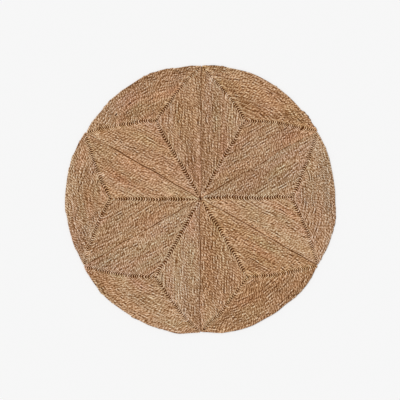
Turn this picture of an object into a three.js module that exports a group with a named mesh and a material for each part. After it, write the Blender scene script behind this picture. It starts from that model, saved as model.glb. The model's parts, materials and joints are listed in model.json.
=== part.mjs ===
// A round straw rug, 1.5 m across: six wedge-shaped panels of coiled straw cord, sewn side by side.
// Millimetres, +Z up. The rug lies flat on z = 0, and its box is centred on the origin.
//
// In each panel one cord is coiled along the wedge's two straight sides and its round rim, turn
// inside turn, down to the middle of the wedge. The top shows the turns as ribs: a ring of points
// runs along the top of each turn, and another along the groove between two turns. The grooves
// drop into a pit wherever the turns bend, which makes the rug's star of dark mitre lines.

import * as THREE from 'three';

// Driving dimensions
const RUG_RADIUS = 750;
const TURNS = 36;
const RUG_HEIGHT = 7;
const GROOVE_HEIGHT = 4.2;
const PIT_HEIGHT = 1.6;
const RIM_HEIGHT = 3.2;
const SEAM_GAP = 0.3;
const BEND_RADIUS = 6;
const RIM_BEND_RADIUS = 14;
const RIM_STEPS = 7;
const STRAW = new THREE.Color(0xa78364);

// How far the rim of each panel stands out beyond the rug's radius, from the panel's first side,
// counter-clockwise by sixths, to its second side. Hand-sewn work is a little uneven.
const PANELS = [
  { name: 'panel_1', middle: 0, first: -6, sixth: -1, third: 5, half: -5, twoThirds: -7, fiveSixths: -2, second: -4 },
  { name: 'panel_2', middle: 60, first: -2, sixth: -2, third: 3, half: 3, twoThirds: 2, fiveSixths: -8, second: -10 },
  { name: 'panel_3', middle: 120, first: -7, sixth: -7, third: -1, half: -3, twoThirds: -7, fiveSixths: -10, second: -14 },
  { name: 'panel_4', middle: 180, first: -4, sixth: -1, third: -1, half: 4, twoThirds: -1, fiveSixths: -4, second: -4 },
  { name: 'panel_5', middle: 240, first: 0, sixth: 3, third: 8, half: 5, twoThirds: 6, fiveSixths: 8, second: -4 },
  { name: 'panel_6', middle: 300, first: -8, sixth: 1, third: 8, half: 7, twoThirds: 1, fiveSixths: 3, second: -5 },
];

// Worked out from them
const HALF_ANGLE = Math.PI / PANELS.length;
const MIDDLE_DEPTH = RUG_RADIUS / 3; // from any side of a panel to its middle
const MIDDLE_REACH = 2 * MIDDLE_DEPTH; // from the rug's middle to a panel's middle
const TURN_WIDTH = MIDDLE_DEPTH / TURNS;

// A unit vector at an angle.
function toward(angle) {
  return new THREE.Vector2(Math.cos(angle), Math.sin(angle));
}

// The distance from the rug's middle to the rim, at a share of the way round a panel's rim. The
// unevenness fades out towards the panel's middle, so the turns there are as wide as elsewhere.
function rimRadius(panel, share, depth) {
  const stations = [
    panel.first, panel.sixth, panel.third, panel.half, panel.twoThirds, panel.fiveSixths, panel.second,
  ];
  const place = share * (stations.length - 1);
  const station = Math.min(Math.floor(place), stations.length - 2);
  const blend = THREE.MathUtils.smoothstep(place - station, 0, 1);
  const uneven = THREE.MathUtils.lerp(stations[station], stations[station + 1], blend);
  return RUG_RADIUS + uneven * (1 - depth / MIDDLE_DEPTH) - depth;
}

// The three points of a rounded corner: where the round starts, its top, and where it ends. The
// two directions lead from the corner to the points before and after it.
function roundedCorner(corner, before, after, radius) {
  const half = before.angleTo(after) / 2;
  const reach = radius / Math.tan(half);
  const inset = radius / Math.sin(half) - radius;
  const bisector = before.clone().add(after).normalize();
  return [
    corner.clone().addScaledVector(before, reach),
    corner.clone().addScaledVector(bisector, inset),
    corner.clone().addScaledVector(after, reach),
  ];
}

// One ring round a panel whose middle line is +X, at a depth inside its outline, counter-clockwise
// from the tip. Points at the top of a bend are marked, because the grooves drop into pits there.
function panelRing(panel, depth) {
  const roomLeft = (MIDDLE_DEPTH - depth) / 2;
  const bend = Math.min(BEND_RADIUS, roomLeft);
  const rimBend = Math.min(Math.max(BEND_RADIUS, RIM_BEND_RADIUS - depth), roomLeft);
  const inset = depth + SEAM_GAP / 2;
  const alongFirst = toward(-HALF_ANGLE);
  const alongSecond = toward(HALF_ANGLE);

  const firstRadius = rimRadius(panel, 0, depth);
  const secondRadius = rimRadius(panel, 1, depth);
  const firstAngle = Math.asin(inset / firstRadius) - HALF_ANGLE;
  const secondAngle = HALF_ANGLE - Math.asin(inset / secondRadius);

  const tip = new THREE.Vector2(inset / Math.sin(HALF_ANGLE), 0);
  const firstCorner = toward(firstAngle).multiplyScalar(firstRadius);
  const secondCorner = toward(secondAngle).multiplyScalar(secondRadius);

  const rim = [];
  for (let step = 1; step < RIM_STEPS; step += 1) {
    const share = step / RIM_STEPS;
    const angle = THREE.MathUtils.lerp(firstAngle, secondAngle, share);
    rim.push(toward(angle).multiplyScalar(rimRadius(panel, share, depth)));
  }

  const ahead = toward(firstAngle + Math.PI / 2);
  const behind = toward(secondAngle - Math.PI / 2);
  const ring = [
    ...roundedCorner(tip, alongSecond, alongFirst, bend),
    ...roundedCorner(firstCorner, alongFirst.clone().negate(), ahead, rimBend),
    ...rim,
    ...roundedCorner(secondCorner, behind, alongSecond.clone().negate(), rimBend),
  ];
  const bendTops = new Set([1, 4, ring.length - 2]);
  return ring.map((point, index) => ({ point, atBend: bendTops.has(index) }));
}

// The rings of a panel, from its underside up round the rim and in over the turns to its middle.
function panelRings(panel) {
  const underside = panelRing(panel, TURN_WIDTH / 6).map(({ point }) => ({ point, height: 0 }));
  const rim = panelRing(panel, 0).map(({ point }) => ({ point, height: RIM_HEIGHT }));
  const rings = [underside, rim];
  for (let turn = 0; turn < TURNS; turn += 1) {
    if (turn > 0) {
      const groove = panelRing(panel, turn * TURN_WIDTH);
      rings.push(groove.map(({ point, atBend }) => ({ point, height: atBend ? PIT_HEIGHT : GROOVE_HEIGHT })));
    }
    const top = panelRing(panel, (turn + 0.5) * TURN_WIDTH);
    rings.push(top.map(({ point }) => ({ point, height: RUG_HEIGHT })));
  }
  return rings;
}

// The closed solid of a panel: its rings joined by strips of triangles, with a fan that closes the
// last turn at the panel's middle, and another that closes the flat underside.
function panelGeometry(panel) {
  const rings = panelRings(panel);
  const ringSize = rings[0].length;
  const positions = rings.flat().flatMap(({ point, height }) => [point.x, point.y, height]);
  const topMiddle = positions.length / 3;
  const undersideMiddle = topMiddle + 1;
  positions.push(MIDDLE_REACH, 0, GROOVE_HEIGHT, MIDDLE_REACH, 0, 0);

  const triangles = [];
  const lastRing = (rings.length - 1) * ringSize;
  for (let index = 0; index < ringSize; index += 1) {
    const next = (index + 1) % ringSize;
    for (let outer = 0; outer < lastRing; outer += ringSize) {
      const inner = outer + ringSize;
      triangles.push(outer + index, outer + next, inner + next);
      triangles.push(outer + index, inner + next, inner + index);
    }
    triangles.push(lastRing + index, lastRing + next, topMiddle);
    triangles.push(next, index, undersideMiddle);
  }

  const geometry = new THREE.BufferGeometry();
  geometry.setAttribute('position', new THREE.Float32BufferAttribute(positions, 3));
  geometry.setIndex(triangles);
  geometry.computeVertexNormals();
  return geometry;
}

// A panel turned to its place round the rug. All six are coiled from the same undyed straw cord.
function panelMesh(panel) {
  const material = new THREE.MeshStandardMaterial({ color: STRAW, roughness: 0.9, metalness: 0 });
  const mesh = new THREE.Mesh(panelGeometry(panel), material);
  mesh.name = panel.name;
  mesh.rotation.z = THREE.MathUtils.degToRad(panel.middle);
  return mesh;
}

const panels = new THREE.Group();
PANELS.forEach((panel) => panels.add(panelMesh(panel)));

// The uneven rim puts the seams' meeting point a little off the middle of the rug's box.
const box = new THREE.Box3().setFromObject(panels, true);
const middle = box.getCenter(new THREE.Vector3());
panels.position.set(-middle.x, -middle.y, 0);

const rug = new THREE.Group();
rug.add(panels);

export default rug;
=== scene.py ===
import json

import bpy
import numpy as np
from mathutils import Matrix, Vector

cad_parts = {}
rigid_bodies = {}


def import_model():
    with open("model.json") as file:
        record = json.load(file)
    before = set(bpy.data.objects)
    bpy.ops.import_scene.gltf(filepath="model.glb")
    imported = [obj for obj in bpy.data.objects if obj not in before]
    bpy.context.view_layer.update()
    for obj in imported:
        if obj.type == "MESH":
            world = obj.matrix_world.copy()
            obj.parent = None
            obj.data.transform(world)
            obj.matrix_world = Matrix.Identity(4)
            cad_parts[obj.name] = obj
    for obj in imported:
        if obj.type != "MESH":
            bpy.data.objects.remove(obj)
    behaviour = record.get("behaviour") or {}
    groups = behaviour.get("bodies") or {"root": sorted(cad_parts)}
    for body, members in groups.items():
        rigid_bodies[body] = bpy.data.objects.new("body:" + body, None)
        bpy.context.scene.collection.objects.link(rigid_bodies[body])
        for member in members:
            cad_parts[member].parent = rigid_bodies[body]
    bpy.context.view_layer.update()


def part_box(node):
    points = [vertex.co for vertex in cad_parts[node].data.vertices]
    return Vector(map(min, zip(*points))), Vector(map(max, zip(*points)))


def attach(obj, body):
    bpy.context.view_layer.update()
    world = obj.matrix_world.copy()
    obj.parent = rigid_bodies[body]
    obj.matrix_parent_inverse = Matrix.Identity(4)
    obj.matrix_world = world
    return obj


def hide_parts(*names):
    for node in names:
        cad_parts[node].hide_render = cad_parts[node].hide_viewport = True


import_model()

# A round straw rug. Each of its six wedge-shaped panels is one twisted cord, coiled from the
# wedge's outline in to its middle, and is one closed mesh: the cord's top, carried along the coil
# and joined turn to turn, its plain underside, and the wall between them round the outline.
# Metres, +Z up. A panel is worked out with its tip at the rug's middle and its middle line on +X.

# The rug, half the wedge's angle, the depth of a panel's middle below its outline, and the turns
MM = 0.001
RUG_RADIUS = 750 * MM
RUG_THICKNESS = 7 * MM
HALF_ANGLE = np.pi / 6
MIDDLE_DEPTH = RUG_RADIUS / 3
TURNS = 36
TURN_WIDTH = MIDDLE_DEPTH / TURNS
SEAM_GAP = 0.3 * MM

# How far each panel's rim stands out beyond the rug's radius, in millimetres, from its first side
# counter-clockwise by sixths to its second side, and how pale and how golden its cord is along the
# first side, the rim and the second side. The paleness is partly painted light: the cords running each
# way are made paler or darker for how the light falls on them.
RIM_STATIONS = ("first", "sixth", "third", "half", "two_thirds", "five_sixths", "second")
PANELS = [
    dict(name="panel_1", middle=0, first=-6, sixth=-1, third=5, half=-5, two_thirds=-7,
         five_sixths=-2, second=-4, pale=(0.2, 0.08, -0.01), golden=(0.1, -0.9, -0.9)),
    dict(name="panel_2", middle=60, first=-2, sixth=-2, third=3, half=3, two_thirds=2,
         five_sixths=-8, second=-10, pale=(-0.06, -0.03, -0.06), golden=(-0.2, 0.6, -0.4)),
    dict(name="panel_3", middle=120, first=-7, sixth=-7, third=-1, half=-3, two_thirds=-7,
         five_sixths=-10, second=-14, pale=(0.0, -0.01, 0.14), golden=(-0.1, 0.3, 0.6)),
    dict(name="panel_4", middle=180, first=-4, sixth=-1, third=-1, half=4, two_thirds=-1,
         five_sixths=-4, second=-4, pale=(0.2, -0.11, -0.08), golden=(0.6, -0.2, -0.2)),
    dict(name="panel_5", middle=240, first=0, sixth=3, third=8, half=5, two_thirds=6,
         five_sixths=8, second=-4, pale=(-0.02, 0.04, 0.03), golden=(-0.4, 0.2, -0.7)),
    dict(name="panel_6", middle=300, first=-8, sixth=1, third=8, half=7, two_thirds=1,
         five_sixths=3, second=-5, pale=(-0.13, -0.34, 0.02), golden=(0.2, 0.5, 1.1)),
]

# How far each seam strays counter-clockwise from its straight line, in millimetres, and how open
# it is at the rug's middle, midway and at the rim, from 0 to 1.
SEAMS = {
    30: dict(strays=6.0, near=0.3, midway=0.3, at_rim=0.3),
    90: dict(strays=-2.0, near=0.35, midway=0.42, at_rim=0.4),
    150: dict(strays=-2.5, near=0.55, midway=0.72, at_rim=0.1),
    210: dict(strays=-6.5, near=0.36, midway=0.4, at_rim=0.3),
    270: dict(strays=-2.5, near=0.5, midway=0.68, at_rim=0.4),
    330: dict(strays=5.5, near=0.2, midway=0.6, at_rim=0.65),
}

# The twist: how long its lobes are, how many rows of points a lobe has, how far a row leans
# forward across a turn, in turn widths, how far the lobes stand ahead of those of the turn
# outside, and how unevenly they follow one another, in lobes.
LOBE_LENGTH = 14.8 * MM
LOBE_ROWS = 4
LOBE_SLANT = 1.1
TWILL = 0.35
LOBE_DRIFT = 0.45
LOBE_DRIFT_LENGTH = 40 * MM

# The cord's section, from its middle to its edge, and the groove between two lobes
CREST_HEIGHT = 6.8 * MM
SHOULDER_HEIGHT = 6.2 * MM
EDGE_HEIGHT = 3.6 * MM
PIT_HEIGHT = 1.8 * MM
UNDER_EDGE_HEIGHT = 1.1 * MM
PLY_GROOVE = 1.2 * MM
EDGE_GROOVE = 0.35
LOBE_RISE = 0.15 * MM

# The bends' radius on the outline, how it grows with depth, and the most it comes to, and the
# points of the middle line in a bend and round the rim
TIP_BEND = dict(least=1.8 * MM, growth=0.22, most=14 * MM)
RIM_BEND = dict(least=2.5 * MM, growth=0.4, most=13 * MM)
BEND_POINTS = 9
RIM_POINTS = 60

# At a bend the cord's middle rises a little and is paler, a painted highlight, and its edges drop into
# a pit with steep sides, darkened with painted shade, of which the shoulders get a part. For each of a
# panel's three mitre lines, the one from the tip last: how deep and how dark with painted shade the
# pits are, how much that differs from bend to bend, and in millimetres how far along the cord they
# reach and how far past the bend their middle lies.
BEND_RISE = 0.5 * MM
BEND_SHINE = 1.6
PIT_STEEPNESS = 1.45
SHOULDER_PIT_SHADE = 0.45
MITRES = (
    dict(dark=1.1, uneven=0.5, reach=36, past=0),
    dict(dark=1.1, uneven=0.5, reach=36, past=0),
    dict(dark=0.9, uneven=0.38, reach=39, past=4),
)

# The seams: how far an open one sets the cord's edge back, how unevenly it opens, how much paler the
# cord's middle is beside it as a painted highlight, how warm the painted shade is on the five points of
# a row, how dark the edge is with painted shade, and how much painted shade fills the hollow beside it
SEAM_OPENING = 3.2 * MM
SEAM_DRIFT = 0.45
SEAM_DRIFT_LENGTH = 45 * MM
SEAM_SHINE = 0.3
SEAM_SHADE_WARMTH = (1, 1, 0.6, 0, 0)
SEAM_PIT_SHADE = 0.45
SEAM_SHADE = 0.8

# The rim's bumps, by lobes and by longer waves, where the wedge's tip ends, and how far along the
# cord the bend beside it reaches
RIM_BUMP = 1.9 * MM
RIM_LOBES = 0.7
RIM_WAVES = 1.5
RIM_WAVE_LENGTH = 60 * MM
TIP_REACH = 0.6 * MM
TIP_BEND_REACH = 24 * MM

# How much painted shade darkens the hollows between turns, how unevenly, in the grooves between lobes
# and at the underside's edges
TURN_SHADE = 0.45
TURN_SHADE_DRIFT = 0.25
TURN_SHADE_DRIFT_LENGTH = 40 * MM
PLY_GROOVE_SHADE = 0.45
UNDER_EDGE_SHADE = 0.8

# How far apart the fibres' patterns of two neighbouring stretches of the cord are taken
FIBRES_APART = 0.1

# On the underside, the longest steps along the cord beside a seam and elsewhere
SEAM_STEP = 12 * MM
UNDER_STEP = 60 * MM

# How far lines wander in hand-sewn work: the waves' shortest and longest lengths, and their size
WAVES = 26
BEND_WANDER = (45 * MM, 120 * MM, 0.7 * MM)
RUG_WANDER = (120 * MM, 500 * MM, 1.0 * MM)

# How much the cord's tone differs from lobe to lobe, between the plies' crests and grooves as painted
# highlight and painted shade, from turn to turn in streaks (their size, and the millimetres between
# their knots), and slowly along the cord
LOBE_TONE = 0.3
PLY_SHADING = 1.05
STREAKS = ((0.18, 30), (0.37, 12))
CORD_TONE = 0.07
CORD_TONE_LENGTH = 60 * MM

# Patches of paler, more golden and redder cord: their size, and how many turns apart and how far
# apart along a turn their knots are
PALE_PATCHES = dict(size=0.165, turns=8, spacing=220 * MM)
GOLDEN_PATCHES = dict(size=0.55, turns=6, spacing=220 * MM)
RED_PATCHES = dict(size=1, turns=6, spacing=150 * MM)

# The finish: how much the tone, the flecks and the strands add to a middling place on the scale of the
# straw's colours, from dark to pale, then its tints, the last the warm tint of painted shade, and the
# colours of painted shade in hollows and in pits
MEAN_LIGHT = 0.444
TONE_LIGHT = 0.33
FLECK_LIGHT = 1.05
STRAND_LIGHT = 0.6
STRAW_TONES = {
    0.0: (0.055, 0.010, 0.001, 1),
    0.25: (0.208, 0.090, 0.028, 1),
    0.5: (0.445, 0.249, 0.125, 1),
    0.75: (0.713, 0.466, 0.284, 1),
    1.0: (0.895, 0.698, 0.503, 1),
}
GOLDEN_TINT = (0.032, -0.011, -0.074)
RED_TINT = (0.021, -0.020, -0.004)
# The warm tint of painted shade, in the pits, the open seams and on the underside
WARM_SHADE_TINT = (0.05, -0.085, -0.23)
HOLLOW_SHADE_COLOUR = (0.250, 0.100, 0.028, 1)
PIT_SHADE_COLOUR = (0.100, 0.028, 0.003, 1)

# The map that the textures are baked on, from 0 to 1: where the tip of the top lies and how large
# MAP_REACH metres of the top are on it, the wall's size beside the top's, and the underside's tip
# and size
MAP_REACH = 0.77
TOP_TIP = np.array([0.012, 0.5])
TOP_SIZE = 0.97
WALL_SIZE = 1.012
UNDER_TIP = np.array([0.013, 0.53])
UNDER_SIZE = 0.44

# The picture: how much of the floor it takes in, how far the seams' meeting point is right of its
# centre and above it, the lens and its sensor in millimetres, and the light
PICTURE_WIDTH = 2219 * MM
RIGHT_OF_CENTRE = 5.0 * MM
ABOVE_CENTRE = 4.4 * MM
LENS = 85
SENSOR = 36
FLOOR_REACH = 30
SKY_STRENGTH = 0.60
KEY_STRENGTH = 1.65
KEY_SOFTNESS = 25
KEY_ELEVATION = 55
KEY_AZIMUTH = 150


def unit(angle):
    """The direction at an angle, as (..., 2)."""
    return np.stack([np.cos(angle), np.sin(angle)], -1)


def smooth(x):
    """0 below 0, 1 above 1, and an S-curve between: 3 x squared less 2 x cubed."""
    x = np.clip(x, 0, 1)
    return x * x * (3 - 2 * x)


def rim_radius(panel, share, depth):
    """From the rug's middle to the rim, less a depth. The uneven reach at a share of the way round
    is blended between the two nearest stations, and fades out towards the panel's middle."""
    reach = np.array([panel[name] for name in RIM_STATIONS]) * MM
    place = share * (len(reach) - 1)
    station = np.minimum(np.floor(place).astype(int), len(reach) - 2)
    blend = smooth(place - station)
    uneven = reach[station] * (1 - blend) + reach[station + 1] * blend
    return RUG_RADIUS + uneven * (1 - depth / MIDDLE_DEPTH) - depth


def bend_radius(depth, least, growth, most):
    """The radius of the bend at each depth: it grows with depth up to the most, but is no more than
    the room that is left, about half a turn's width and half the way on to the last turn."""
    room = 0.52 * TURN_WIDTH + (MIDDLE_DEPTH - TURN_WIDTH / 2 - depth) / 2
    return np.minimum(np.minimum(most, least + growth * depth), room)


def rounded_corners(corner, before, after, radius):
    """Arcs that round one corner of every turn, as (turns, points, 2). An arc's centre lies on the
    corner's bisector at radius / sin(half the angle), and it swings from the side before the
    corner to the side after it."""
    bisector = before + after
    bisector = bisector / np.linalg.norm(bisector, axis=-1, keepdims=True)
    across = after - before
    across = across / np.linalg.norm(across, axis=-1, keepdims=True)
    half = np.arccos((before * after).sum(-1)) / 2
    centre = corner + bisector * (radius / np.sin(half))[:, None]
    swing = np.linspace(-1, 1, BEND_POINTS) * (np.pi / 2 - half)[:, None]
    out = across[:, None] * np.sin(swing)[..., None] - bisector[:, None] * np.cos(swing)[..., None]
    return centre[:, None] + radius[:, None, None] * out


class Coil:
    """The middle line of a panel's cord. Turn after turn it follows the first side, the rim and the
    second side of the wedge, half a turn's width deeper than the turn's outer edge, and passes
    over to the next turn's depth at the wedge's tip. Its corners are rounded."""

    def __init__(self, panel):
        depth = (np.arange(TURNS) + 0.5) * TURN_WIDTH
        side = depth + SEAM_GAP / 2
        side_before = np.append(side[0], side[:-1])
        ones = np.ones((TURNS, 1))
        along_first = ones * unit(-HALF_ANGLE)
        along_second = ones * unit(HALF_ANGLE)
        into_first = ones * unit(np.pi / 2 - HALF_ANGLE)
        into_second = ones * unit(HALF_ANGLE - np.pi / 2)

        tip = np.stack([side + side_before, (side - side_before) / np.sqrt(3)], -1)
        first_radius = rim_radius(panel, np.zeros(TURNS), depth)
        second_radius = rim_radius(panel, np.ones(TURNS), depth)
        first_reach = np.sqrt(first_radius**2 - side**2)
        second_reach = np.sqrt(second_radius**2 - side**2)
        first = along_first * first_reach[:, None] + into_first * side[:, None]
        second = along_second * second_reach[:, None] + into_second * side[:, None]
        ahead = np.stack([-first[:, 1], first[:, 0]], -1) / first_radius[:, None]
        behind = np.stack([second[:, 1], -second[:, 0]], -1) / second_radius[:, None]

        rim_bend = bend_radius(depth, **RIM_BEND)
        tip_bend = rounded_corners(tip, along_second, along_first, bend_radius(depth, **TIP_BEND))
        first_bend = rounded_corners(first, -along_first, ahead, rim_bend)
        second_bend = rounded_corners(second, behind, -along_second, rim_bend)

        start = np.arctan2(first_bend[:, -1, 1], first_bend[:, -1, 0])[:, None]
        end = np.arctan2(second_bend[:, 0, 1], second_bend[:, 0, 0])[:, None]
        share = np.linspace(0, 1, RIM_POINTS + 2)[None, 1:-1]
        angle = start + (end - start) * share
        rim = unit(angle) * rim_radius(panel, share, depth[:, None])[..., None]

        turns = np.concatenate([tip_bend, first_bend, rim, second_bend], 1)
        last = (TURNS - 1) * turns.shape[1] + 2 * BEND_POINTS
        end_point = (first_bend[-1, -1] + 2 * second[-1]) / 3
        start_point = tip[0] - unit(-HALF_ANGLE) * TURN_WIDTH / 3
        self.points = np.vstack([start_point, turns.reshape(-1, 2)[BEND_POINTS:last], end_point])
        self.along = np.append(0, np.linalg.norm(np.diff(self.points, axis=0), axis=1).cumsum())
        self.length = self.along[-1]

        half_bend = BEND_POINTS // 2
        tops = np.array([half_bend, BEND_POINTS + half_bend, 2 * BEND_POINTS + RIM_POINTS + half_bend])
        tops = (np.arange(TURNS)[:, None] * turns.shape[1] + tops).ravel()[1:-1] - BEND_POINTS + 1
        self.bends = self.along[tops]

    def at(self, along):
        """Points at distances along the cord, on the straight lines between the middle line's."""
        x = np.interp(along, self.along, self.points[:, 0])
        y = np.interp(along, self.along, self.points[:, 1])
        return np.stack([x, y], -1)

    def beside(self, along, across):
        """Points at distances along the cord and to its left, towards the panel's middle: the
        middle line's point plus its unit normal times the distance across."""
        span = 0.4 * MM
        ahead = self.at(along + span) - self.at(along - span)
        ahead /= np.linalg.norm(ahead, axis=-1, keepdims=True)
        left = np.stack([-ahead[..., 1], ahead[..., 0]], -1)
        return self.at(along) + left * across[..., None]

    def stretch(self, along):
        """Which stretch of the coil a place is on, counted from the outside: 0 the first side,
        1 the rim and 2 the second side of the outermost turn, 3 the first side of the next."""
        return np.searchsorted(self.bends, along, side="right")

    def nearest_bend(self, along):
        """The number of the nearest bend, and how far a place along the cord is past it."""
        after = np.clip(self.stretch(along), 0, len(self.bends) - 1)
        before = np.clip(after - 1, 0, len(self.bends) - 1)
        nearer_after = np.abs(self.bends[after] - along) < np.abs(along - self.bends[before])
        bend = np.where(nearer_after, after, before)
        return bend, along - self.bends[bend]

    def lane(self, along, points):
        """Turns from the start, measured so that places opposite each other on neighbouring turns
        differ by exactly 1: by the reach along a side, or by the angle round the rim, each of
        which makes a third of a turn."""
        stretch = self.stretch(along)
        first = points @ unit(-HALF_ANGLE) / RUG_RADIUS
        second = 1 - points @ unit(HALF_ANGLE) / RUG_RADIUS
        rim = (np.arctan2(points[..., 1], points[..., 0]) + HALF_ANGLE) / (2 * HALF_ANGLE)
        thirds = np.choose(stretch % 3, [first, 1 + rim, 2 + second])
        return np.maximum.accumulate(stretch // 3 + thirds / 3)


def strip(ids):
    """Triangles of a grid of vertex numbers, rows along the cord and columns to its left, facing
    up. Each four-sided cell is cut along the diagonal that the rows' forward lean makes shorter."""
    a, b = ids[:-1, :-1].ravel(), ids[1:, :-1].ravel()
    c, d = ids[1:, 1:].ravel(), ids[:-1, 1:].ravel()
    return np.vstack([np.stack([a, b, d], 1), np.stack([b, c, d], 1)])


def zip_edges(right, right_at, left, left_at):
    """Triangles that join two rows of vertices, one to the left of the other, each with its place
    along a common scale. Stepping along both rows in order of place, each step on one row makes a
    triangle with the vertex reached on the other."""
    right_step = np.searchsorted(left_at[1:], right_at[1:], side="left")
    left_step = np.searchsorted(right_at[1:], left_at[1:], side="right")
    on_right = np.stack([right[:-1], right[1:], left[right_step]], 1)
    on_left = np.stack([right[left_step], left[1:], left[:-1]], 1)
    return np.vstack([on_right, on_left])


def fan(loop, centre):
    """Triangles from each edge of a closed loop to its centre."""
    return np.stack([loop, np.roll(loop, -1), np.full(len(loop), centre)], 1)


class Skin:
    """One face of a panel, top or under: a grid of vertices that follows the coil, joined edge to
    edge from turn to turn, with the last turn's inside closed by a fan, and the wedge's tip filled
    out beside the cord's start."""

    def __init__(self, coil, along, across, first_id):
        self.xy = coil.beside(along, across)
        self.ids = first_id + np.arange(along.size).reshape(along.shape)
        centre = first_id + along.size
        self.tip = centre + 1
        outer_lane = coil.lane(along[:, 0], self.xy[:, 0])
        inner_lane = coil.lane(along[:, -1], self.xy[:, -1])
        self.outer_lane = outer_lane
        starts = np.searchsorted(outer_lane, inner_lane[0] + 1)
        ends = np.searchsorted(inner_lane, outer_lane[-1] - 1)
        joined = zip_edges(
            self.ids[:ends, -1], inner_lane[:ends],
            self.ids[starts:, 0], outer_lane[starts:] - 1,
        )
        inside = np.concatenate([self.ids[ends - 1:, -1], self.ids[-1, -2::-1]])
        self.tip_bend = np.searchsorted(outer_lane, 1 - TIP_BEND_REACH / RUG_RADIUS / 3)
        beside_tip = np.concatenate([self.ids[self.tip_bend: starts + 1, 0], self.ids[0, ::-1]])
        tip = np.stack([beside_tip[1:], beside_tip[:-1], np.full(len(beside_tip) - 1, self.tip)], 1)
        inside_xy = self.xy.reshape(-1, 2)[inside - first_id].mean(0)
        self.flat = np.vstack([self.xy.reshape(-1, 2), inside_xy, [TIP_REACH, 0]])
        self.triangles = np.vstack([strip(self.ids), joined, fan(inside, centre), tip])

    def outline(self):
        """The open edge round the panel, closed over the wedge's tip, and a place on a common scale
        for each of its vertices."""
        edge = self.ids[: self.tip_bend + 1, 0]
        lane = self.outer_lane[: self.tip_bend + 1]
        return np.append(edge, [self.tip, edge[0]]), np.append(lane, [3, 4])


def wandering(xy, seed, shortest, longest, size):
    """How far lines wander from their place in hand-sewn work: a sum of sine waves between two
    lengths, in chance directions, whose heights grow with the square root of their length."""
    rng = np.random.default_rng(seed)
    length = np.exp(np.linspace(np.log(shortest), np.log(longest), WAVES))
    wave = unit(rng.uniform(0, 2 * np.pi, WAVES)) * (2 * np.pi / length)[:, None]
    push = unit(rng.uniform(0, 2 * np.pi, WAVES)) * (np.sqrt(length / longest) * size)[:, None]
    return np.sin(xy @ wave.T + rng.uniform(0, 2 * np.pi, WAVES)) @ push


def drift(rng, along, spacing):
    """A slow change along the cord: normal random values at even knots, blended between them."""
    place = along / spacing
    knot = np.floor(place).astype(int)
    values = rng.normal(size=knot.max() + 2)
    blend = smooth(place - knot)
    return values[knot] * (1 - blend) + values[knot + 1] * blend


def turn_streaks(rng, lane, spacing):
    """Streaks that run along the cord and set a turn off from the turns beside it: each turn's
    drift round the panel, less 0.6 of the drift of the turns just outside and inside it at the
    same place, plus 0.1 of the drift of the next two. The drift's knots are about a spacing apart
    on every turn."""
    turn = np.floor(lane).astype(int)
    round_panel = 3 * RUG_RADIUS * (1 - np.arange(TURNS + 2) / TURNS)
    knots = np.maximum(round_panel / spacing, 2)
    values = rng.normal(size=(TURNS + 2, int(knots.max()) + 3))
    total = 0
    for step, weight in ((0, 1), (-1, -0.6), (1, -0.6), (-2, 0.1), (2, 0.1)):
        drifting = np.clip(turn + step, 0, TURNS + 1)
        place = (lane - turn) * knots[drifting]
        knot = np.floor(place).astype(int)
        blend = smooth(place - knot)
        here, ahead = values[drifting, knot], values[drifting, knot + 1]
        total = total + weight * (here * (1 - blend) + ahead * blend)
    return total


def patches(rng, lane, size, turns, spacing):
    """Patches stretched along the cord: a size times normal random values at even knots, a number
    of turns apart across the coil and a spacing apart along it, blended between them."""
    turn = np.floor(lane)
    across = turn / turns
    along = (lane - turn) * 3 * RUG_RADIUS / spacing
    row, column = across.astype(int), along.astype(int)
    values = rng.normal(size=(row.max() + 2, column.max() + 2))
    further, onward = smooth(across - row), smooth(along - column)
    near = values[row, column] * (1 - onward) + values[row, column + 1] * onward
    far = values[row + 1, column] * (1 - onward) + values[row + 1, column + 1] * onward
    return size * (near * (1 - further) + far * further)


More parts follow.
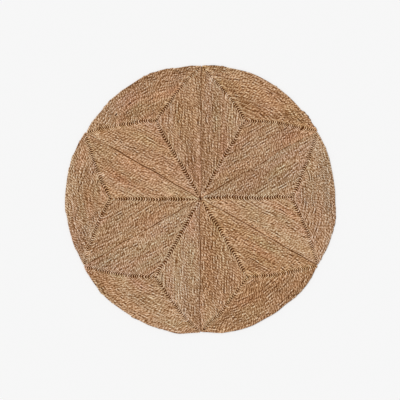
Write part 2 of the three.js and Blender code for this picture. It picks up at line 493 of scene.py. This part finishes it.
class Panel:
    """One panel of the rug, as a closed mesh with its attributes."""

    def __init__(self, panel, seams_meet):
        self.panel = panel
        self.rng = np.random.default_rng(100 + panel["middle"])
        self.coil = Coil(panel)
        self.top = self.cord_top()
        self.under = self.cord_under()
        skins = (self.top, self.under)
        self.points = np.vstack([self.placed(skin, seams_meet) for skin in skins])
        under_edge, under_at = self.under.outline()
        top_edge, top_at = self.top.outline()
        wall = zip_edges(under_edge, under_at, top_edge, top_at)
        self.faces = [self.top.triangles, self.under.triangles[:, ::-1], wall]

    def twist(self, reach):
        """Rows across the cord, LOBE_ROWS to a lobe of its twist, as places along it and as numbers
        of lobes. Along the middle part of each stretch the lobes are evenly long, and stand TWILL
        of a lobe ahead of those of the turn outside, so that they line up slanting across the
        turns; beside the bends they are a little longer or shorter, to make up the difference. A
        drift along the cord is added, and two lobes, so that no number is below 0."""
        coil = self.coil
        ends = np.concatenate([[0], coil.bends, [coil.length]])
        middle = (ends[:-1] + ends[1:]) / 2
        lane = coil.lane(middle, coil.at(middle))
        turn = np.floor(lane)
        wanted = (lane - turn) * 3 * RUG_RADIUS / LOBE_LENGTH - TWILL * turn
        evenly = np.diff(middle) / LOBE_LENGTH
        change = (np.diff(wanted) - evenly + 0.5) % 1 - 0.5
        count = wanted[0] + np.append(0, (evenly + change).cumsum())
        beside_bend = 45 * MM
        half = np.maximum(np.diff(ends) / 2 - beside_bend, 0)
        places = np.column_stack([middle - half, middle + half]).ravel()
        counts = np.column_stack([count - half / LOBE_LENGTH, count + half / LOBE_LENGTH]).ravel()
        start = counts[0] - places[0] / LOBE_LENGTH
        end = counts[-1] + (reach - places[-1]) / LOBE_LENGTH
        fine = np.linspace(0, reach, int(reach / 4 / MM))
        lobes = np.interp(fine, np.hstack([0, places, reach]), np.hstack([start, counts, end]))
        lobes = lobes - lobes[0] + LOBE_DRIFT * drift(self.rng, fine, LOBE_DRIFT_LENGTH) + 2
        row = np.arange(np.floor(LOBE_ROWS * lobes[0]) + 1, np.ceil(LOBE_ROWS * lobes[-1])) / LOBE_ROWS
        row = np.hstack([lobes[0], row, lobes[-1]])
        return np.interp(row, lobes, fine), row

    def bend_marks(self):
        """How deep each bend's pit is and how dark its painted shade, and how far past the bend its
        middle lies. Both are the mitre line's own value, plus a drift from turn to turn along the line
        and a random value for each bend. From the depth and darkness, half the random value of the
        line's bend before is taken off, so that a deep, dark pit tends to follow a shallow, pale one."""
        bends = len(self.coil.bends)
        marks = self.rng.normal(size=bends)
        past = 2 * MM * self.rng.normal(size=bends)
        for first, mitre in enumerate(MITRES):
            chance = marks[first::3]
            turns = np.arange(len(chance)) + 0.5
            marks[first::3] = mitre["dark"] + mitre["uneven"] * (chance - 0.5 * np.roll(chance, 1))
            marks[first::3] += 0.1 * drift(self.rng, turns, 4)
            past[first::3] += (mitre["past"] + 2 * drift(self.rng, turns, 4)) * MM
        return np.clip(marks, 0.1, 1.4), past

    def seam_gap(self, along, stretch):
        """How open the seam is beside each place on the outermost turn, about 0 to 1: blended
        between its stations, plus a drift along the cord, the greater the narrower the seam is, so
        that a narrow one is closed here and there where the cords touch. It is 0 round the rim,
        in the wedge's tip and on the turns further in."""
        from_middle = np.linalg.norm(self.coil.at(along), axis=-1)
        gaps = []
        for turned in (-30, 30):
            seam = SEAMS[(self.panel["middle"] + turned) % 360]
            stations = [seam["near"], seam["midway"], seam["at_rim"]]
            gaps.append(np.interp(from_middle, [0, RUG_RADIUS / 2, RUG_RADIUS], stations))
        gap = np.choose(np.minimum(stretch, 3), [gaps[0], 0, gaps[1], 0])
        beside_seam = (self.coil.bends[2] - along > TIP_BEND_REACH) & (stretch != 1)
        uneven = SEAM_DRIFT * (1 - gap) * drift(self.rng, along, SEAM_DRIFT_LENGTH)
        return np.clip(gap + uneven, 0, 1.1) * beside_seam

    def cord_top(self):
        """The top of the cord: rows across it that lean forward to the left as its plies do, from the
        groove before each lobe on, and five points in a row, from the turn's outer edge to its inner
        edge. A point's height is the rounded section's, less the groove's, which falls off with the
        fourth power of the cosine. Pits and open seams lower the edges. The tone is a sum of what
        differs by lobe, streak and patch, with a painted highlight on the plies' crests and painted
        shade in their grooves, and a painted highlight on the cord's middle at the bends and beside
        open seams. Painted shade darkens the hollows between turns and lobes, the pits and the open
        seams, and gives them a warm tint."""
        coil, rng = self.coil, self.rng
        start, row = self.twist(coil.length - LOBE_SLANT * TURN_WIDTH)
        lobe = row.astype(int)
        lobes = lobe[-1] + 1
        share = np.linspace(-0.5, 0.5, 5)
        along = start[:, None] + LOBE_SLANT * TURN_WIDTH * (share + 0.5)
        across = np.tile(share * TURN_WIDTH, (len(row), 1))

        stretch = coil.stretch(along)
        marks, marks_past = self.bend_marks()
        bend, past = coil.nearest_bend(along)
        away = np.abs(past - marks_past[bend])
        reach = np.array([mitre["reach"] for mitre in MITRES])[bend % 3] * MM
        near_bend = smooth(PIT_STEEPNESS - PIT_STEEPNESS * away / reach)
        pit = marks[bend] * near_bend
        seam = self.seam_gap(start, stretch[:, 0])
        outer_turn = stretch[:, 0] < 3
        open_seam = (seam * outer_turn)[:, None]
        pit[:, 0] = np.where(outer_turn, seam, pit[:, 0])
        at_rim = stretch[:, 0] == 1
        bumps = rng.normal(0, RIM_LOBES, lobes)[lobe]
        bumps = bumps + RIM_WAVES * drift(rng, start, RIM_WAVE_LENGTH)
        across += (seam * SEAM_OPENING)[:, None] * (0.5 - share)
        across[:, 0] -= at_rim * RIM_BUMP * bumps

        groove = (np.cos(np.pi * row)**4)[:, None]
        at_edge = np.abs(share) > 0.4
        section = np.interp(np.abs(share), [0, 0.25, 0.5], [CREST_HEIGHT, SHOULDER_HEIGHT, EDGE_HEIGHT])
        height = section - groove * PLY_GROOVE * np.where(at_edge, EDGE_GROOVE, 1)
        height = height + rng.normal(0, LOBE_RISE, lobes)[lobe][:, None] * ~at_edge
        height = np.where(at_edge, height + (PIT_HEIGHT - height) * pit, height + BEND_RISE * pit)
        height[0, 0] = PIT_HEIGHT

        skin = Skin(coil, along, across, 0)
        skin.height = height
        lane = coil.lane(along, skin.xy)
        streaks = sum(size * turn_streaks(rng, lane, spacing * MM) for size, spacing in STREAKS)
        plies = LOBE_TONE * rng.normal(size=lobes)[lobe]
        plies = plies + CORD_TONE * drift(rng, start, CORD_TONE_LENGTH)
        pale = np.array(self.panel["pale"])[stretch % 3] + patches(rng, lane, **PALE_PATCHES)
        # Painted light on the plies: a painted highlight on the crests and painted shade in the grooves
        skin.tone = plies[:, None] + PLY_SHADING * (1 - 2 * groove) + streaks + pale
        # Painted highlight: the cord's middle is paler at the bends and beside open seams
        skin.tone += (BEND_SHINE * near_bend + SEAM_SHINE * open_seam) * ~at_edge
        golden = np.array(self.panel["golden"])[stretch % 3] + patches(rng, lane, **GOLDEN_PATCHES)
        red = patches(rng, lane, **RED_PATCHES)
        skin.tint = 1 + golden[..., None] * GOLDEN_TINT + red[..., None] * RED_TINT
        # The warm tint of painted shade in the pits and open seams
        skin.tint += np.maximum(pit, open_seam * SEAM_SHADE_WARMTH)[..., None] * WARM_SHADE_TINT
        # Painted shade in the hollows: between turns, unevenly, deepest in the pits, in the grooves
        # between lobes, and beside open seams
        gap = TURN_SHADE + TURN_SHADE_DRIFT * drift(rng, start, TURN_SHADE_DRIFT_LENGTH)
        gap = np.clip(gap, 0, 1)[:, None]
        skin.hollow = np.where(at_edge, gap + (1 - gap) * pit, PLY_GROOVE_SHADE * groove)
        skin.hollow[:, 1] = np.maximum(skin.hollow[:, 1], SEAM_SHADE * seam)
        # Painted shade in the pits, strongest at the edges, weaker on the shoulders and at the seams
        skin.pit = pit * np.interp(np.abs(share), [0, 0.25, 0.5], [0, SHOULDER_PIT_SHADE, 1])
        skin.pit[:, 0] *= np.where(outer_turn, SEAM_PIT_SHADE, 1)
        skin.pit[0, 0] = 1
        fibres_along = along - LOBE_SLANT * across
        skin.fibres = np.stack([fibres_along, across * np.sqrt(2), FIBRES_APART * stretch], -1)
        return skin

    def cord_under(self):
        """The underside of the cord: low rounded ribs of three points across, at few places, but
        close together beside the seams, so that the panels' undersides meet there."""
        coil = self.coil
        rim_start = 2 * BEND_POINTS
        picked = np.concatenate([
            np.arange(0, rim_start, BEND_POINTS // 2 + 0.5).astype(int),
            np.arange(rim_start + 2, rim_start + RIM_POINTS, 5),
            np.arange(rim_start + RIM_POINTS, rim_start + RIM_POINTS + BEND_POINTS, BEND_POINTS // 2),
        ])
        per_turn = rim_start + RIM_POINTS + BEND_POINTS
        places = (np.arange(TURNS)[:, None] * per_turn + picked).ravel() - BEND_POINTS + 1
        places = places[(places > 0) & (places < len(coil.along) - 1)]
        places = np.concatenate([[0], coil.along[places], [coil.length]])
        longest = np.where(places[:-1] < coil.bends[2], SEAM_STEP, UNDER_STEP)
        steps = np.append(0, np.ceil(np.diff(places) / longest).cumsum())
        start = np.interp(np.arange(steps[-1] + 1), steps, places)
        share = np.array([-0.5, 0, 0.5])
        along = np.tile(start[:, None], (1, 3))
        across = np.tile(share * TURN_WIDTH, (len(start), 1))
        across[:, 0] -= SEAM_GAP / 2
        skin = Skin(coil, along, across, self.top.tip + 1)
        skin.flat[-1] = 0
        skin.height = np.tile(np.abs(share) * 2 * UNDER_EDGE_HEIGHT, (len(start), 1))
        skin.tone = np.zeros(along.shape)
        # Painted shade: the underside gets the warm tint of shade and is darkened at its edges, beside
        # the seams more
        skin.tint = np.ones(along.shape + (3,)) + WARM_SHADE_TINT
        skin.hollow = np.tile(np.abs(share) * 2 * UNDER_EDGE_SHADE, (len(start), 1))
        skin.pit = np.zeros(along.shape)
        stretch = coil.stretch(start)
        skin.pit[:, 0] = SEAM_PIT_SHADE * ((stretch < 3) & (stretch != 1))
        skin.fibres = np.stack([along, across, np.zeros(along.shape)], -1)
        return skin

    def placed(self, skin, seams_meet):
        """A skin's points in the rug's place: turned to the panel's middle line and moved to where
        the seams meet. The bends wander within the panel, but not its outline. Its sides are
        swung to the seams' true lines, and longer waves run through the whole rug, so that the
        seams stay closed."""
        flat = skin.flat
        from_middle = np.linalg.norm(flat, axis=1)
        sides = flat @ unit(np.array([np.pi / 2 - HALF_ANGLE, HALF_ANGLE - np.pi / 2])).T
        depth = np.minimum(sides.min(1), RUG_RADIUS - from_middle)
        bends = wandering(flat, self.panel["middle"], *BEND_WANDER)
        side = smooth(0.5 + np.arctan2(flat[:, 1], flat[:, 0]) / (2 * HALF_ANGLE))
        first, second = (SEAMS[(self.panel["middle"] + turned) % 360]["strays"] for turned in (-30, 30))
        strays = (first + (second - first) * side) * MM * smooth(from_middle / 150 / MM)
        ahead = np.column_stack([-flat[:, 1], flat[:, 0]]) / np.maximum(from_middle, MM)[:, None]
        flat = flat + bends * smooth(depth / 25 / MM)[:, None] + ahead * strays[:, None]
        turn = np.radians(self.panel["middle"])
        turned = flat @ np.array([unit(turn), unit(turn + np.pi / 2)])
        turned += wandering(turned, 11, *RUG_WANDER)
        return np.column_stack([turned + seams_meet, self.whole(skin, "height")])

    def baking_map(self):
        """Where each face corner lies on the map that the textures are baked on: the top as seen
        from above with its tip at the left, the wall in a narrow band round it, and the underside
        at less than half the size in the free corner above the tip."""
        flat = np.vstack([self.top.flat, self.under.flat])
        top = TOP_TIP + flat * TOP_SIZE / MAP_REACH
        middle = TOP_TIP + [0.5 * TOP_SIZE / MAP_REACH, 0]
        wall = middle + (top - middle) * WALL_SIZE
        turned = flat @ np.array([unit(np.pi / 3), unit(np.pi / 3 + np.pi / 2)])
        under = UNDER_TIP + turned * (UNDER_SIZE / MAP_REACH)
        is_under = self.faces[2] > self.top.tip
        on_wall = np.where(is_under[..., None], wall[self.faces[2]], top[self.faces[2]])
        return np.concatenate([top[self.faces[0]], under[self.faces[1]], on_wall]).reshape(-1, 2)

    def whole(self, skin, name, width=1):
        """One of a skin's values for each of its points. Its middle and its tip take the value of
        the first point, at the outer edge of the cord's start."""
        values = getattr(skin, name).reshape(-1, width)
        return np.vstack([values, values[:1], values[:1]])

    def both(self, name, width=1):
        """One of the values for the points of both skins."""
        return np.vstack([self.whole(self.top, name, width), self.whole(self.under, name, width)])

    def make(self, material):
        """Put the mesh into Blender, with its attributes, its map and its material."""
        name = self.panel["name"] + "_cord"
        faces = np.vstack(self.faces).astype(np.int32)
        mesh = bpy.data.meshes.new(name)
        mesh.vertices.add(len(self.points))
        mesh.vertices.foreach_set("co", self.points.astype(np.float32).ravel())
        mesh.loops.add(faces.size)
        mesh.loops.foreach_set("vertex_index", faces.ravel())
        mesh.polygons.add(len(faces))
        mesh.polygons.foreach_set("loop_start", np.arange(0, faces.size, 3, dtype=np.int32))
        mesh.polygons.foreach_set("loop_total", np.full(len(faces), 3, dtype=np.int32))
        mesh.update(calc_edges=True)
        mesh.polygons.foreach_set("use_smooth", np.ones(len(faces), dtype=bool))
        for field in ("tone", "hollow", "pit"):
            layer = mesh.attributes.new(field, "FLOAT", "POINT")
            layer.data.foreach_set("value", self.both(field).astype(np.float32).ravel())
        for field in ("fibres", "tint"):
            layer = mesh.attributes.new(field, "FLOAT_VECTOR", "POINT")
            layer.data.foreach_set("vector", self.both(field, 3).astype(np.float32).ravel())
        uv = mesh.uv_layers.new(name="OFBake")
        uv.data.foreach_set("uv", self.baking_map().astype(np.float32).ravel())
        mesh.materials.append(material)
        mesh.validate()
        piece = bpy.data.objects.new(name, mesh)
        bpy.context.scene.collection.objects.link(piece)
        return piece


class Shade:
    """A number that varies over a surface: wraps a socket, so that + - * make Math nodes."""

    def __init__(self, maker, socket):
        self.maker, self.socket = maker, socket

    def math(self, operation, first, second):
        """Add a Math node for two numbers, either of which may be a plain one."""
        return self.maker.node("ShaderNodeMath", dict(operation=operation), {0: first, 1: second})

    def __add__(self, other):
        return self.math("ADD", self, other)

    def __sub__(self, other):
        return self.math("SUBTRACT", self, other)

    def __rsub__(self, other):
        return self.math("SUBTRACT", other, self)

    def __mul__(self, other):
        return self.math("MULTIPLY", self, other)

    __radd__, __rmul__ = __add__, __mul__

    def clamped(self):
        """The number, but 0 where it is less and 1 where it is more."""
        return self.maker.node("ShaderNodeClamp", {}, {"Value": self})


class MaterialMaker:
    """A new material and a short way to add its nodes."""

    def __init__(self, name):
        self.material = bpy.data.materials.new(name)
        self.material.use_nodes = True
        self.tree = self.material.node_tree
        self.tree.nodes.clear()

    def node(self, kind, settings, inputs, output=0):
        """Add a node: its settings first, then the values or links of its sockets."""
        node = self.tree.nodes.new(kind)
        for name, value in settings.items():
            setattr(node, name, value)
        for name, value in inputs.items():
            socket = node.inputs[name]
            if isinstance(value, Shade):
                self.tree.links.new(value.socket, socket)
            else:
                socket.default_value = value
        return Shade(self, node.outputs[output])

    def attribute(self, name, output="Fac"):
        """A value that the mesh holds for each point."""
        return self.node("ShaderNodeAttribute", dict(attribute_name=name), {}, output)

    def noise(self, place, scale, detail=2.0, roughness=0.5):
        """Smooth noise from 0 to 1, with so many blots to a metre."""
        inputs = {"Vector": place, "Scale": scale, "Detail": detail, "Roughness": roughness}
        return self.node("ShaderNodeTexNoise", {}, inputs)

    def product(self, first, second):
        """Two vectors or colours multiplied, part by part."""
        return self.node("ShaderNodeVectorMath", dict(operation="MULTIPLY"), {0: first, 1: second})

    def ramp(self, factor, tones):
        """A ramp of colours by tone, from 0 to 1, its first and last stops there from the start."""
        ramp = self.node("ShaderNodeValToRGB", {}, {"Fac": factor})
        stops = ramp.socket.node.color_ramp.elements
        for tone in list(tones)[1:-1]:
            stops.new(tone)
        for stop, (tone, colour) in zip(stops, tones.items()):
            stop.position = tone
            stop.color = colour
        return ramp

    def blend(self, factor, first, second):
        """Blend two colours. A Mix node's colour sockets are its sixth and seventh."""
        return self.node("ShaderNodeMix", dict(data_type="RGBA"), {0: factor, 6: first, 7: second}, 2)

    def finish(self, surface):
        """Lead a surface to the material's output, which has no socket of its own to wrap."""
        end = self.tree.nodes.new("ShaderNodeOutputMaterial")
        self.tree.links.new(surface.socket, end.inputs["Surface"])
        return self.material


def straw():
    """Twisted straw: a tone for each lobe of the cord, which holds painted highlights and painted
    shade, flecks and fine fibres along the plies, a golden or greyer tint, and painted shade in the
    hollows between turns, darkest in the pits where they bend."""
    m = MaterialMaker("straw_cord")
    fibres = m.attribute("fibres", "Vector")
    tone = m.attribute("tone")
    tint = m.attribute("tint", "Vector")
    hollow = m.attribute("hollow")
    pit = m.attribute("pit")
    strands = m.noise(m.product(fibres, (1, 0.12, 1)), 1400, 3.0, 0.6) - 0.5
    flecks = m.noise(m.product(fibres, (1, 0.5, 1)), 330) - 0.5
    light = tone * TONE_LIGHT + flecks * FLECK_LIGHT + strands * STRAND_LIGHT + MEAN_LIGHT
    colour = m.product(m.ramp(light, STRAW_TONES), tint)
    # Painted shade: hollows and pits are blended towards dark shade colours
    colour = m.blend((hollow * 0.95 + flecks * hollow).clamped(), colour, HOLLOW_SHADE_COLOUR)
    colour = m.blend((pit * 2.5 - 0.7).clamped(), colour, PIT_SHADE_COLOUR)
    relief = {"Strength": 0.5, "Distance": 0.6 * MM, "Height": strands + flecks}
    bump = m.node("ShaderNodeBump", {}, relief)
    skin = m.node("ShaderNodeBsdfPrincipled", {}, {
        "Base Color": colour,
        "Roughness": (strands * 0.4 + 0.72).clamped(),
        "Specular IOR Level": 0.1,
        "Normal": bump,
    })
    return m.finish(skin)


def floor_paint():
    """A plain pale floor."""
    m = MaterialMaker("pale_floor")
    return m.finish(m.node("ShaderNodeBsdfDiffuse", {}, {"Color": (0.9, 0.9, 0.9, 1)}))


def add_floor():
    """A wide plain floor, level with the rug's underside."""
    far = FLOOR_REACH
    corners = [(-far, -far, 0), (far, -far, 0), (far, far, 0), (-far, far, 0)]
    mesh = bpy.data.meshes.new("floor")
    mesh.from_pydata(corners, [], [(0, 1, 2, 3)])
    mesh.materials.append(floor_paint())
    floor = bpy.data.objects.new("floor", mesh)
    bpy.context.scene.collection.objects.link(floor)


def add_light():
    """An even pale sky, and one broad soft light from the upper left of the picture."""
    world = bpy.data.worlds.new("studio")
    world.use_nodes = True
    sky = world.node_tree.nodes["Background"]
    sky.inputs["Color"].default_value = (1, 1, 1, 1)
    sky.inputs["Strength"].default_value = SKY_STRENGTH
    bpy.context.scene.world = world
    lamp = bpy.data.lights.new("key", "SUN")
    lamp.energy = KEY_STRENGTH
    lamp.angle = np.radians(KEY_SOFTNESS)
    key = bpy.data.objects.new("key", lamp)
    key.rotation_euler = (0, np.radians(90 - KEY_ELEVATION), np.radians(KEY_AZIMUTH))
    bpy.context.scene.collection.objects.link(key)


def add_camera(seams_meet):
    """A long lens straight above the rug, with the seams' meeting point where the picture has it."""
    lens = bpy.data.cameras.new("camera")
    lens.lens = LENS
    lens.sensor_width = SENSOR
    lens.clip_end = 100
    camera = bpy.data.objects.new("camera", lens)
    height = PICTURE_WIDTH * LENS / SENSOR + RUG_THICKNESS
    camera.location = (seams_meet[0] - RIGHT_OF_CENTRE, seams_meet[1] - ABOVE_CENTRE, height)
    bpy.context.scene.collection.objects.link(camera)
    bpy.context.scene.camera = camera


# The seams meet midway between the tips of opposite panels
low = {panel["name"]: np.array(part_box(panel["name"])[0]) for panel in PANELS}
high = {panel["name"]: np.array(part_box(panel["name"])[1]) for panel in PANELS}
seams_meet = np.array([
    (low["panel_1"][0] + high["panel_4"][0]) / 2,
    (low["panel_2"][1] + high["panel_5"][1]) / 2,
])

add_camera(seams_meet)
add_light()
add_floor()
bpy.context.scene.view_settings.view_transform = "Standard"

material = straw()
for panel in PANELS:
    piece = Panel(panel, seams_meet).make(material)
    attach(piece, "root")
    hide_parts(panel["name"])
